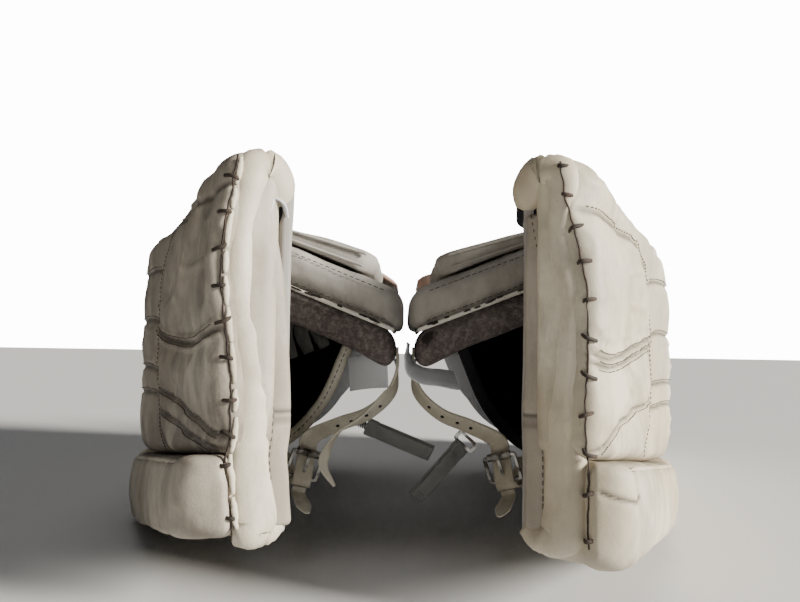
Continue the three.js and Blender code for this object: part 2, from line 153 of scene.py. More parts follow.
def flat_section(width, thick):
    w, h = width / 2, thick / 2
    e = h * 0.6
    half = [(w, 0), (w - e * 0.3, h * 0.7), (w - e, h), (w / 3, h)]
    half += [(-w / 3, h), (-w + e, h), (-w + e * 0.3, h * 0.7)]
    return np.array(half + [(-x, -y) for x, y in half])


def sweep(path, wide, section, scale=None):
    """A section carried along a path; wide is its width's direction, one for all or one per point."""
    path = np.array(path, float)
    wide = np.broadcast_to(np.array(wide, float), path.shape).copy()
    along = np.gradient(path, axis=0)
    along /= np.linalg.norm(along, axis=1)[:, None]
    wide -= along * np.sum(wide * along, 1)[:, None]
    wide /= np.linalg.norm(wide, axis=1)[:, None]
    thick = np.cross(along, wide)
    scale = np.ones(len(path)) if scale is None else np.array(scale)
    rings = [
        p + s * (section[:, :1] * w + section[:, 1:] * t) for p, w, t, s in zip(path, wide, thick, scale)
    ]
    k = len(section)
    faces = [
        [i * k + j, i * k + (j + 1) % k, (i + 1) * k + (j + 1) % k, (i + 1) * k + j]
        for i in range(len(path) - 1)
        for j in range(k)
    ]
    faces.append(list(range(k))[::-1])
    faces.append([(len(path) - 1) * k + j for j in range(k)])
    return np.vstack(rings), faces


def joined(parts):
    points, faces, start = [], [], 0
    for p, f in parts:
        points.append(p)
        faces += [[start + i for i in face] for face in f]
        start += len(p)
    return np.vstack(points), faces


def wobble(t, size, seed):
    """Noise along one measure."""
    return noise(np.stack([t, t, t], 1), size, seed)


def outward(out, axis, sign=1):
    """1 where a block's surface faces along an axis, 0 where it faces across or away."""
    return np.clip(sign * out[:, axis], 0, 1)


def stitches(path, pitch, length, radius, lift, seed=1):
    """Short thread stitches along a path, each arched along lift."""
    path = np.array(path, float)
    run = np.concatenate([[0], np.cumsum(np.linalg.norm(np.diff(path, axis=0), axis=1))])
    spot = lambda s: np.array([np.interp(s, run, path[:, k]) for k in range(3)])
    lift = np.array(lift, float)
    section = round_section(radius, radius, 5)
    rng = np.random.default_rng(seed)
    parts = []
    for s in np.arange(pitch / 2, run[-1] - length, pitch):
        a, b = spot(s), spot(s + length * rng.uniform(0.85, 1.1))
        rise = lift * radius
        line = [a - rise, a * 0.7 + b * 0.3 + rise, a * 0.3 + b * 0.7 + rise, b - rise]
        parts.append(sweep(line, np.cross(b - a, lift), section))
    return joined(parts)


def layer(line, y0, y1, thick, pitch, shape):
    """A thick sheet: a line in X and Z carried along Y; shape(s, y) moves its middle surface."""
    length = np.linalg.norm(np.diff(np.array(line, float), axis=0), axis=1).sum()
    count = max(8, int(length / pitch))
    mid = smooth(line, count)
    along = np.gradient(mid, axis=0)
    along /= np.linalg.norm(along, axis=1)[:, None]
    normal = np.stack([-along[:, 1], along[:, 0]], 1)
    ys = np.linspace(y0, y1, max(4, int(abs(y1 - y0) / pitch)))
    s = np.linspace(0, 1, count)
    shells = []
    for sign in (1, -1):
        shell = np.zeros((len(ys), count, 3))
        for j, y in enumerate(ys):
            inside = min(j + 0.6, len(ys) - j - 0.4) * pitch / (2 * thick)
            edge = min(1.0, 0.35 + 0.65 * math.sin(math.pi * min(1, inside) / 2))
            soft = np.minimum(1, 0.35 + np.minimum(s, 1 - s) * count * pitch / (1.6 * thick))
            off = sign * thick / 2 * (edge * soft)[:, None] * normal
            shell[j, :, 0] = mid[:, 0] + off[:, 0]
            shell[j, :, 1] = y
            shell[j, :, 2] = mid[:, 1] + off[:, 1]
            shell[j] += shape(s, y)
        shells.append(shell)
    rows = len(ys)
    grid = np.arange(rows * count).reshape(rows, count)
    quad = quad_faces(grid)
    other = rows * count
    faces = quad.tolist() + (quad[:, ::-1] + other).tolist()
    rim = np.concatenate([grid[0, :-1], grid[:-1, -1], grid[-1, :0:-1], grid[:0:-1, 0]])
    for a, b in zip(rim, np.roll(rim, -1)):
        faces.append([int(a), int(b), int(b) + other, int(a) + other])
    return np.vstack([shell.reshape(-1, 3) for shell in shells]), faces, len(quad)


def turned(p, angle, x, y):
    c, s = math.cos(angle), math.sin(angle)
    return np.stack([x + p[:, 0] * c + p[:, 1] * s, y - p[:, 0] * s + p[:, 1] * c, p[:, 2]], 1)


def rise_place(p):
    return turned(p, RISE_ANGLE, THIGH_X, 0)


def shin_place(p):
    return np.stack([SHIN_X + p[:, 0], KNEE_Y + p[:, 1], p[:, 2]], 1)


def boot_place(p):
    return turned(p, BOOT_ANGLE, SHIN_X, ANKLE_Y)


PLACES = {"rise": rise_place, "boot": boot_place}


def add(name, shape, side, material, body, covers=(), groove=None, wear=None):
    """Makes one piece of one side. Points are the right pad's, in millimetres; those of the rise
    and the boot are measured on their section: out from its back, along it, and up."""
    points, faces = shape
    m = 1 if side == "right" else -1
    world = PLACES.get(body, np.array)(points) * [m, 1, 1]
    world[:, 1] -= ORIGIN_Y
    if m < 0:
        faces = [f[::-1] for f in faces]
    data = bpy.data.meshes.new(f"{side}_{name}")
    data.from_pydata((world / 1000).tolist(), [], faces)
    data.validate()
    data.polygons.foreach_set("use_smooth", [True] * len(data.polygons))
    for label, values in (("groove", groove), ("wear", wear)):
        values = np.zeros(len(world)) if values is None else values
        attribute = data.attributes.new(label, "FLOAT", "POINT")
        attribute.data.foreach_set("value", np.array(values, np.float32))
    for item in material if isinstance(material, list) else [material]:
        data.materials.append(item)
    obj = bpy.data.objects.new(f"{side}_{name}", data)
    bpy.context.collection.objects.link(obj)
    if covers:
        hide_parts(*[f"{side}_{node}" for node in covers])
    if isinstance(body, str):
        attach(obj, f"{side}_{body}")
    else:
        a, b, start, end = body
        place = lambda p: (p[0] * m / 1000, (p[1] - ORIGIN_Y) / 1000, p[2] / 1000)
        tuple(place(start))
        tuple(place(end))
        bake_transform(obj)
    return obj


# ---- materials
def material(name, build):
    mat = bpy.data.materials.new(name)
    mat.use_nodes = True
    nodes, links = mat.node_tree.nodes, mat.node_tree.links
    shader = nodes["Principled BSDF"]

    def node(kind, **values):
        n = nodes.new(kind)
        for key, value in values.items():
            if key in n.inputs:
                n.inputs[key].default_value = value
            else:
                setattr(n, key, value)
        return n

    def feed(value, socket):
        if isinstance(value, bpy.types.NodeSocket):
            links.new(value, socket)
        else:
            socket.default_value = (*value, 1) if isinstance(value, tuple) else value

    def surface(colour, roughness, specular=0.5, metallic=0.0):
        feed(colour, shader.inputs["Base Color"])
        feed(roughness, shader.inputs["Roughness"])
        shader.inputs["Specular IOR Level"].default_value = specular
        shader.inputs["Metallic"].default_value = metallic

    def texture(kind, **values):
        n = node(kind, **values)
        links.new(coords.outputs["Object"], n.inputs["Vector"])
        return n

    def field(scale, detail=4.0, rough=0.55, stretch=(1, 1, 1)):
        place = texture("ShaderNodeMapping", Scale=stretch)
        n = node("ShaderNodeTexNoise", Scale=scale, Detail=detail, Roughness=rough)
        links.new(place.outputs["Vector"], n.inputs["Vector"])
        return n.outputs["Fac"]

    def ramp(source, stops):
        n = nodes.new("ShaderNodeValToRGB")
        links.new(source, n.inputs["Fac"])
        while len(n.color_ramp.elements) < len(stops):
            n.color_ramp.elements.new(0.5)
        for e, (at, value) in zip(n.color_ramp.elements, stops):
            e.position = at
            e.color = (value, value, value, 1) if isinstance(value, (int, float)) else (*value, 1)
        return n.outputs["Color"]

    def mix(base, over, amount):
        n = nodes.new("ShaderNodeMix")
        n.data_type = "RGBA"
        for value, socket in ((amount, 0), (base, 6), (over, 7)):
            feed(value, n.inputs[socket])
        return n.outputs[2]

    def times(a, b):
        n = node("ShaderNodeMath", operation="MULTIPLY")
        feed(a, n.inputs[0])
        feed(b, n.inputs[1])
        return n.outputs[0]

    def attribute(label):
        return node("ShaderNodeAttribute", attribute_name=label).outputs["Fac"]

    def bumped(height, strength, distance):
        n = node("ShaderNodeBump", Strength=strength, Distance=distance)
        links.new(height, n.inputs["Height"])
        if shader.inputs["Normal"].is_linked:
            links.new(shader.inputs["Normal"].links[0].from_socket, n.inputs["Normal"])
        links.new(n.outputs["Normal"], shader.inputs["Normal"])

    coords = nodes.new("ShaderNodeTexCoord")
    build(surface, texture, field, ramp, mix, times, attribute, bumped)
    return mat


GROOVE_DARK = (0.035, 0.028, 0.022)


def leather(name, base, scuff, stain, roughness, scuffing, shift=0.0):
    def build(surface, texture, field, ramp, mix, times, attribute, bumped):
        broad = field(7.0 + shift, 5.0, 0.6)
        streaks = field(22.0 + shift, 8.0, 0.72, (1, 1, 0.45))
        specks = field(120.0, 6.0, 0.75)
        colour = mix(base, scuff, times(ramp(broad, [(0.43, 0.0), (0.60, 1.0)]), scuffing))
        colour = mix(colour, scuff, times(ramp(streaks, [(0.50, 0.0), (0.64, 0.9)]), scuffing))
        colour = mix(colour, stain, times(ramp(field(4.2, 3.0), [(0.48, 0.0), (0.64, 0.8)]), 0.6))
        colour = mix(colour, scuff, times(ramp(specks, [(0.60, 0.0), (0.70, 1.0)]), 0.5))
        worn = times(attribute("wear"), ramp(streaks, [(0.38, 0.0), (0.6, 1.0)]))
        colour = mix(colour, scuff, worn)
        # leather is darkened to near black along the groove attribute: seam lines, splits between rolls,
        # the outer roll's top edge and its tear
        colour = mix(colour, GROOVE_DARK, times(attribute("groove"), 0.85))
        surface(colour, ramp(broad, [(0.3, roughness - 0.08), (0.75, roughness + 0.14)]), 0.35)
        cells = texture("ShaderNodeTexVoronoi", Scale=520.0, feature="DISTANCE_TO_EDGE")
        bumped(cells.outputs["Distance"], 0.35, 0.0004)
        bumped(field(60.0, 8.0, 0.68), 0.35, 0.0016)

    return material(name, build)


def cloth(name, base, over, pitch, depth, roughness=0.85, patch=0.3):
    def build(surface, texture, field, ramp, mix, times, attribute, bumped):
        broad = field(9.0, 6.0, 0.62)
        colour = mix(base, over, times(ramp(broad, [(0.4, 0.0), (0.7, 1.0)]), patch))
        colour = mix(colour, tuple(0.25 * c for c in base), times(attribute("groove"), 0.8))
        surface(colour, roughness, 0.2)
        for axis in ("X", "Y", "Z"):
            wave = texture("ShaderNodeTexWave", Scale=pitch, bands_direction=axis, Distortion=1.2)
            wave.inputs["Detail Scale"].default_value = 3.0
            bumped(wave.outputs["Fac"], depth, 0.0004)

    return material(name, build)


def plain(name, base, roughness, metallic=0.0, patchy=None, share=0.45):
    def build(surface, texture, field, ramp, mix, times, attribute, bumped):
        if patchy is None:
            surface(base, roughness, metallic=metallic)
        else:
            spots = field(90.0, 6.0, 0.7)
            colour = mix(base, patchy, ramp(spots, [(share, 0.0), (share + 0.15, 1.0)]))
            sheen = ramp(spots, [(0.4, roughness), (0.65, roughness + 0.3)])
            surface(colour, sheen, metallic=metallic)

    return material(name, build)


def suede_nap(name, base, pale):
    def build(surface, texture, field, ramp, mix, times, attribute, bumped):
        colour = mix(base, pale, ramp(field(210.0, 8.0, 0.8), [(0.46, 0.0), (0.60, 0.8)]))
        colour = mix(colour, pale, times(ramp(field(11.0, 4.0), [(0.42, 0.0), (0.7, 1.0)]), 0.4))
        colour = mix(colour, (0.02, 0.018, 0.018), times(attribute("groove"), 0.9))
        surface(colour, 0.96, 0.1)
        bumped(field(420.0, 5.0, 0.7), 0.7, 0.0006)

    return material(name, build)


WHITE = leather(
    "white_leather", (0.78, 0.725, 0.575), (0.34, 0.30, 0.24), (0.55, 0.44, 0.27), 0.5, 0.66)
# the left pad's face and outer roll take a darker copy of the white leather: partly dirt, partly painted
# shade for the side turned away from the key light
SOILED_AND_SHADED = leather(
    "soiled_and_shaded_leather", (0.52, 0.47, 0.385), (0.235, 0.205, 0.17), (0.38, 0.30, 0.20), 0.55, 0.66)
FACE = {"left": SOILED_AND_SHADED, "right": WHITE}
ROLL = leather(
    "end_roll_leather", (0.66, 0.605, 0.485), (0.40, 0.35, 0.275), (0.58, 0.47, 0.30), 0.5, 0.6, 2.0)
STRIP = leather(
    "end_strip_leather", (0.42, 0.375, 0.315), (0.26, 0.23, 0.19), (0.34, 0.28, 0.20), 0.58, 0.6, 3.0)
GREY = leather(
    "grey_leather", (0.44, 0.42, 0.385), (0.24, 0.225, 0.205), (0.52, 0.48, 0.42), 0.62, 0.65, 1.0)
STRAP = leather(
    "strap_leather", (0.80, 0.775, 0.66), (0.50, 0.455, 0.36), (0.56, 0.48, 0.34), 0.52, 0.45, 4.0)
TAN = leather(
    "tan_leather", (0.50, 0.34, 0.26), (0.36, 0.26, 0.20), (0.58, 0.44, 0.34), 0.6, 0.5, 5.0)
SUEDE = suede_nap("suede", (0.088, 0.073, 0.070), (0.23, 0.20, 0.19))
BACK = cloth("pad_back_cloth", (0.34, 0.32, 0.30), (0.20, 0.19, 0.18), 420.0, 0.3)
BLACK = cloth("black_lining", (0.014, 0.014, 0.017), (0.05, 0.05, 0.055), 300.0, 0.3, 0.8)
NYLON = cloth("nylon", (0.82, 0.85, 0.89), (0.58, 0.60, 0.65), 380.0, 0.25, 0.55)
WEB = cloth("webbing", (0.36, 0.37, 0.36), (0.50, 0.51, 0.50), 520.0, 0.7, 0.7)
FOLD = {
    "left": cloth("pale_fold_cloth", (0.34, 0.35, 0.33), (0.16, 0.16, 0.155), 260.0, 0.2, 0.8, 0.6),
    "right": cloth("grey_fold_cloth", (0.045, 0.047, 0.055), (0.02, 0.02, 0.024), 260.0, 0.2, 0.8, 0.6),
}
LACE_AND_GAP_SHADE = plain("lace", (0.022, 0.016, 0.012), 0.75, patchy=(0.07, 0.05, 0.04))
THREAD = plain("thread", (0.10, 0.08, 0.065), 0.8)
DARK_WEAR_AND_HOLE_SHADE = plain("dark_wear_and_hole_shade", (0.022, 0.018, 0.015), 0.9)
PIPING = plain("piping", (0.74, 0.71, 0.63), 0.55, patchy=(0.10, 0.085, 0.07), share=0.54)
METAL = plain("buckle_metal", (0.42, 0.41, 0.39), 0.3, 1.0, patchy=(0.10, 0.09, 0.08))
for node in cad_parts.values():
    node.data.materials.clear()
    node.data.materials.append(METAL)


# ---- the pad itself
def to_knee(t):
    return np.clip(1 - np.asarray(t, float) / RISE, 0, 1.1)


def roll_top(t):
    return 74 + 41 * to_knee(t)


def low_edge(t, side=None):
    """The floor edge of the rise, cut up towards the thigh end; the right pad sags more."""
    return {"left": 58, "right": 42, None: 50}[side] * to_knee(t)


def seam_line(side, z):
    """How far the laced seam stands from the pad's back at a height."""
    if side == "left":
        return 44 + 11 * bump(z, 250, 62) + 3 * bump(z, 112, 14) - 3 * (1 - step(z, 60, 90))
    return 50 - 2 * bump(z, 145, 20) - 18 * step(z, 225, 330)


def lean(side, z):
    """The right pad's top corner leans towards the leg."""
    return -13 * step(z, 240, 335) if side == "right" else 2.0 * bump(z, 230, 70)


# seams of the rise's face: points along and up; the third of each side is the wide welt
FACE_SEAMS = {
    "left": [
        [(-12, 306), (30, 301), (90, 299), (150, 298)],
        [(150, 298), (182, 272), (192, 240), (193, 205), (188, 160), (170, 120), (140, 99)],
        [(192, 204), (130, 195), (66, 193), (20, 197), (-12, 204)],
        [(186, 150), (120, 146), (57, 140), (-12, 129)],
        [(172, 131), (91, 126), (-10, 120)],
        [(196, 262), (240, 266), (300, 262)],
        [(194, 212), (240, 216), (310, 210)],
        [(188, 166), (240, 168), (310, 163)],
        [(180, 143), (240, 143), (310, 136)],
    ],
    "right": [
        [(-12, 292), (40, 289), (90, 284), (124, 284)],
        [(124, 284), (160, 262), (176, 230), (177, 202), (178, 160), (168, 125), (150, 100)],
        [(176, 203), (110, 195), (29, 186), (-12, 190)],
        [(178, 196), (110, 188), (29, 180), (-12, 184)],
        [(174, 148), (110, 143), (54, 137), (-12, 122)],
        [(182, 256), (240, 262), (300, 258)],
        [(180, 206), (240, 210), (310, 205)],
        [(178, 160), (240, 160), (310, 156)],
        [(172, 138), (240, 138), (310, 132)],
    ],
}
SEAM_LINES = {side: [smooth(line, 60) for line in lines] for side, lines in FACE_SEAMS.items()}


# long folds in the leather: points along and up, width, height
FOLDS = {
    "left": [
        ([(44, 306), (60, 276), (84, 248), (124, 214)], 9, 4.2),
        ([(22, 300), (18, 262), (14, 226)], 6, -2.4),
        ([(96, 290), (118, 262), (150, 236)], 12, -2.6),
        ([(34, 188), (52, 170), (60, 152)], 6, 2.2),
        ([(120, 188), (132, 165), (128, 150)], 7, -1.8),
    ],
    "right": [
        ([(60, 292), (72, 264), (78, 242), (94, 222)], 4.5, -2.6),
        ([(84, 292), (104, 262), (118, 236), (126, 214)], 10, 3.0),
        ([(20, 282), (16, 250), (20, 216)], 8, -1.6),
        ([(84, 176), (112, 158), (140, 150)], 5, 2.2),
        ([(70, 162), (96, 146), (118, 142)], 4, -2.0),
    ],
}


def seam_distance(t, z, lines):
    best = np.full(len(t), 1e9)
    for line in lines:
        a, d = line[:-1], np.diff(line, axis=0)
        for p, v in zip(a, d):
            k = np.clip(((t - p[0]) * v[0] + (z - p[1]) * v[1]) / (v @ v), 0, 1)
            best = np.minimum(best, np.hypot(t - p[0] - k * v[0], z - p[1] - k * v[1]))
    return best


def face_relief(side, t, z):
    """How far the rise's face stands out from its flat form."""
    seed = 20 if side == "left" else 40
    flat = np.stack([t, z, np.zeros(len(t))], 1)
    away = seam_distance(t, z, SEAM_LINES[side])
    puff = 4.0 - 2.4 * step(t, 165, 195)
    relief = puff * (1 - bump(away, 0, 15)) - 2.4 * bump(away, 0, 2.0)
    relief += noise(flat, 8, seed + 3) * 0.45 * bump(away, 5, 6)
    # the wide cross seam is a welt with a ridge beside it
    relief += 1.9 * bump(seam_distance(t, z, SEAM_LINES[side][2:3]), 4.4, 2.2)
    for line, width, height in FOLDS[side]:
        relief += height * bump(seam_distance(t, z, [smooth(line, 16)]), 0, width)
    relief += 2.6 * noise(flat, 48, seed) + 1.3 * noise(flat * [1, 0.5, 1], 17, seed + 1)
    ridge = 1 - np.abs(noise(flat * [0.6, 1.0, 1], 26, seed + 2)) * 3.2
    relief += 1.6 * np.clip(ridge, 0, 1) ** 2
    relief -= (11 if side == "left" else 16) * np.clip(np.abs(z - 188) / 130, 0, 1) ** 4 * step(t, 90, 285)
    return relief, away


def rounding(v, t):
    """How far the face falls back towards the pad's upper edge."""
    return (8 + 16 * step(t, 50, 190)) * step(v, 0.86, 1.02) ** 1.5


def face_bend(t):
    """How far the face's end is mitred to meet the shin at the knee break."""
    return KNEE_MITRE * step(t, 200, RISE)


def face_end(side, t, z):
    """How the face's thigh end follows the laced seam and leans."""
    near = bump(t, -12, 14)
    return near * (seam_line(side, z) - 51) * 0.9, lean(side, z) * 0.25 * (1 - near)


def make_face(side):
    """The rise's front face and the stitching beside its seams."""
    bottom, top, depth = 0, 204, 45
    p, out, faces = block((12, -12, bottom), (12 + depth, RISE, top), 11, STEP * 0.6)
    n, t = p[:, 0].copy(), p[:, 1].copy()
    v = p[:, 2] / top
    front = np.clip((n - 12) / depth, 0, 1)
    facing = outward(out, 0)
    low = roll_top(t) + 0.5
    high = WIDTH + 15 * bump(t, -10, 70) - 1
    z = low + v * (high - low)
    relief, away = face_relief(side, t, z)
    n = n + front * (18 * np.clip(t, 0, RISE) / RISE) + relief * front * facing - rounding(v, t) * front
    near = bump(t, -12, 14)
    seam, leaning = face_end(side, t, z)
    n = n + seam * front + leaning
    t = t + n * face_bend(t)
    t -= 2.0 * noise(p, 30, 5) * near
    # the left face gets far more wear darkening than the right: partly dirt, partly painted shade
    wear = 0.8 * bump(v, 0, 0.12) + 0.6 * near * front + (1.0 if side == "left" else 0.15) * facing
    add("rise_face_leather", (np.stack([n, t, z], 1), faces), side, FACE[side], "rise",
        ["rise_face"], bump(away, 0, 1.9) * front * facing, wear)

    rows = []
    for number, line in enumerate(SEAM_LINES[side]):
        gap = np.gradient(line, axis=0)
        gap = np.stack([-gap[:, 1], gap[:, 0]], 1) / np.linalg.norm(gap, axis=1)[:, None]
        for offset in (3.6, -3.6) if number == 2 else (3.4,):
            q = line + gap * offset
            q = q[(q[:, 0] > -6) & (q[:, 0] < 280)]
            if len(q) < 6:
                continue
            t, z = q[:, 0], q[:, 1]
            relief, _ = face_relief(side, t, z)
            v = (z - roll_top(t)) / (WIDTH - roll_top(t))
            height = 57 + 18 * np.clip(t, 0, RISE) / RISE + relief - rounding(v, t)
            seam, leaning = face_end(side, t, z)
            height += seam + leaning
            row = np.stack([height + 0.1, t + height * face_bend(t), z], 1)
            rows.append(stitches(row, 4.4, 2.6, 0.34, (1, 0, 0), number))
    add("rise_stitching", joined(rows), side, THREAD, "rise")


def make_outer_roll(side):
    """The boxy padded bolster along the floor edge, with its piped upper edge."""
    p, out, faces = block((10, -13, 0), (76, RISE, 100), 12, STEP * 0.7)
    n, t, v = p[:, 0].copy(), p[:, 1].copy(), p[:, 2] / 100
    z = low_edge(t, side) + v * (roll_top(t) - low_edge(t, side))
    place = np.stack([n, t, z], 1)
    relief = 2.2 * noise(place, 40, 61 + SEED[side]) + 0.8 * noise(place, 13, 62)
    end = 1 - step(t, -13, 24)
    seam = seam_line(side, z)
    past = np.clip(n - seam, 0, None)
    inset = 10 * (1 - step(n, seam - 6, seam + 0.5)) + 0.055 * past**1.65 + 3.8 * bump(n, seam, 2.6)
    swell = np.sin(np.pi * np.clip(v, 0, 1))
    n = n + (relief + 5 * swell) * outward(out, 0) + 2 * step(t, 0, 200)
    z = z + relief * 0.6 * out[:, 2] - 2 * bump(v, 1, 0.3) * step(t, 180, RISE) * step(n, 30, 80)
    t = t + (0.8 * relief - 3 * swell) * outward(out, 1, -1)
    tear = bump(z, 97 - 0.42 * (p[:, 0] - 58), 1.7) * step(p[:, 0], 54, 60) * (1 - step(t, 20, 34))
    tear = tear * (side == "right")
    t = t + (inset + 1.6 * tear) * end
    t = t + n * KNEE_MITRE * step(t, 230, RISE)
    wear = 0.8 * step(v, 0.8, 1) + 0.7 * (1 - step(v, 0, 0.25)) + 0.35
    edge = bump(v, 1.0, 0.02) * step(n, 40, 60)
    add("rise_outer_roll_leather", (np.stack([n, t, z], 1), faces), side, FACE[side], "rise",
        ["rise_outer_roll"], np.maximum(edge * 0.4, tear), wear)
    t = np.linspace(12, 262, 60)
    edge = np.stack([74 + 4 * t / RISE + 1.2 * wobble(t, 14, 3), t, roll_top(t) - 3.4], 1)
    taper = np.minimum(1, 0.2 + np.arange(60) / 5)
    add("roll_piping", sweep(edge, (0, 0, 1), round_section(1.9, 1.9, 8), taper), side, FACE[side],
        "rise")


def make_edge_roll(side):
    """A stuffed tube up the thigh end; its top and its foot curl towards the leg."""
    rings, sides = 120, 28
    height = np.linspace(70, 300, 30)
    foot = {"left": [(6, 1, 64), (15, -1, 59), (27, -3, 62)],
            "right": [(4, 1, 64), (14, -1, 58), (28, -3, 60)]}[side]
    upright = seam_line(side, height) - 14 - 3.5 * (1 - step(height, 90, 230))
    upright = np.stack([upright, np.full(30, -3.0), height], 1)[::5]
    ear = 4.5 if side == "left" else 0
    crook = [(34, -3, 312), (27 + ear / 2, -2, 321), (17 + ear, 0, 321), (10 + ear, 3, 312),
             (9 + ear, 7, 301), (15 + ear, 11, 291)]
    shift = (seam_line(side, 320) - 47) * (0.2 if side == "right" else 0.75)
    path = smooth(foot + upright.tolist() + [(n + shift, t, z) for n, t, z in crook], rings)
    s = np.linspace(0, 1, rings)
    girth = 1 + 0.32 * step(s, 0.76, 0.9) - 0.7 * step(s, 0.93, 1.0)
    girth = girth - 0.45 * (1 - step(s, 0.0, 0.06)) + 0.1 * bump(s, 0.1, 0.05)
    points, faces = sweep(path, (1, 0.0, 0.02), round_section(11.8, 11, sides), girth)
    out = points - np.repeat(path, sides, axis=0)
    out /= np.linalg.norm(out, axis=1)[:, None]
    centre = np.repeat(path[:, 0], sides)
    points[:, 0] = centre + (points[:, 0] - centre) * (1 + 0.3 * (1 - step(points[:, 2], 90, 230)))
    crease = noise(points * [0.5, 0.5, 1.0], 9, 71 + SEED[side]) * 0.45 + noise(points, 26, 72) * 0.7
    points = points + out * crease[:, None]
    wear = 0.5 * np.clip(-noise(points, 30, 9), 0, 1) + 0.5 * bump(points[:, 2], 60, 25)
    add("edge_roll", (points, faces), side, ROLL, "rise", ["rise_end_roll"], None, wear)


def make_end(side):
    """What lies between the edge roll and the leg: a strip, and a black block of painted shade in the
    hollow under the curled corner.
    """
    p, out, faces = block((1, -5.8, 62), (28, 4, 292), 4.5, 2.6)
    z = p[:, 2]
    cross = bump(z, 138, 1.4) + bump(z, 144, 1.4)
    fine = bump(p[:, 0], 21, 1.8)
    relief = 0.8 * noise(p * [1, 1, 0.5], 20, 81 + SEED[side]) - 1.6 * cross - 2.0 * fine
    relief = relief + 1.2 * bump(p[:, 0], 12, 9) - 3 * step(p[:, 0], 20, 28)
    p[:, 1] -= relief * outward(out, 1, -1)
    edge = step(28 - p[:, 0], 0, 24)
    widening = (2 + 9 * step(z, 235, 292)) * edge
    p[:, 0] += (seam_line(side, z) - 50) * 0.75 + widening + 0.8 * noise(p, 40, 82)
    add("end_strip", (p, faces), side, STRIP, "rise", ["rise_end_panel"],
        np.clip(cross + fine, 0, 1), np.full(len(p), 0.4))

    shift = (seam_line(side, 310) - 50) * 0.75
    # painted shade: a black block fills the hollow under the curled corner
    p, out, faces = block((6 + shift, -1, 284), (30 + shift, 16, 316), 6, 4)
    add("corner_hollow_shade", (p, faces), side, BLACK, "rise")
    if side == "left":
        fold = [(8, 0, 290), (12, -5, 297), (19, -3, 300), (22, -4, 291), (25, -1, 286)]
        fold = smooth([(n + shift, t, z) for n, t, z in fold], 24)
        add("corner_fold", sweep(fold, (0, 1, 0.3), flat_section(15, 1.5)), side, NYLON, "rise")


LACE_HEIGHTS = {
    "left": (310, 285, 260, 233, 209, 183, 154, 130, 110, 74),
    "right": (323, 302, 278, 254, 227, 201, 175, 148, 122, 95, 64),
}


def make_lacing(side):
    """The laced seam: short turns of lace over a dark rod of painted shade in the gap, and shreds of piping
    on the left.
    """
    rng = np.random.default_rng(SEED[side] + 1)
    bars = []
    for z in LACE_HEIGHTS[side]:
        n = float(seam_line(side, z))
        tilt = rng.uniform(-2.5, 2.5)
        reach = rng.uniform(2.6, 4.4)
        line = smooth([(n - reach, -11.0, z - tilt), (n - reach * 0.5, -15.2, z - tilt * 0.5),
                       (n, -16.0, z), (n + 3, -13.6, z + tilt * 0.5), (n + 5.5, -8.0, z + tilt)], 14)
        bars.append(sweep(line, (0, 0, 1), round_section(1.4, 0.9, 10)))
    # a thin dark rod down the seam is painted shade in the gap between the panels
    z = np.linspace(58, 326, 130)
    gap = np.stack([seam_line(side, z) + 0.9 * wobble(z, 11, 4), -11.2 - 3.4 * step(z, 250, 285), z], 1)
    bars.append(sweep(gap, (1, 0, 0), round_section(0.7, 1.4, 8)))
    add("lacing", joined(bars), side, LACE_AND_GAP_SHADE, "rise", ["rise_lacing"])
    if side == "left":
        shreds = []
        start, count = 66, 12
        taper = 0.35 + 0.65 * np.sin(np.pi * np.linspace(0.08, 0.92, count))
        while start < 318:
            z = np.linspace(start, start + rng.uniform(12, 30), count)
            n = seam_line(side, z) - 3.0 + 0.7 * wobble(z, 5, 8)
            line = np.stack([n, np.full(count, -12.6), z], 1)
            shreds.append(sweep(line, (1, 0, 0), round_section(2.3, 1.5, 8), taper))
            start = z[-1] + rng.uniform(0.5, 4)
        add("seam_piping", joined(shreds), side, ROLL, "rise")
    # fine stitches between the edge roll and the strip
    row = np.linspace(66, 296, 80)
    row = np.stack([(seam_line(side, row) - 50) * 0.75 + 17.5, np.full(80, -6.7), row], 1)
    add("roll_seam_stitching", stitches(row, 5.5, 3.2, 0.4, (0, -1, 0), 3), side, THREAD, "rise")


def make_back(side):
    """One cloth-and-leather back from the thigh end to the ankle; it bends at the knee break."""
    height = 300
    p, out, faces = block((0, -2, 0), (10, 664, height), 4, 8.0)
    s, v = p[:, 1], p[:, 2] / height
    low = np.where(s < RISE, low_edge(s) + 6, 6)
    z = low + v * (WIDTH - 3 - low)
    n = p[:, 0] + 1.2 * noise(p, 45, 91) * outward(out, 0, -1)
    rise = rise_place(np.stack([n, s, z], 1))
    shin = shin_place(np.stack([n, s - RISE, z], 1))
    w = step(s, RISE - 14, RISE + 14)[:, None]
    bodies = ("rise", "pad", (SHIN_X - 25, KNEE_Y - 50, 160), (SHIN_X, KNEE_Y + 12, 160))
    add("back_cover", (rise * (1 - w) + shin * w, faces), side, BACK, bodies,
        ["rise_back", "shin_back"])


ROLL_WIDTH = 47
ROLL_SPLITS = (133, 191, 249)


def splits(z, heights, width):
    return sum(bump(z, height, width) for height in heights)


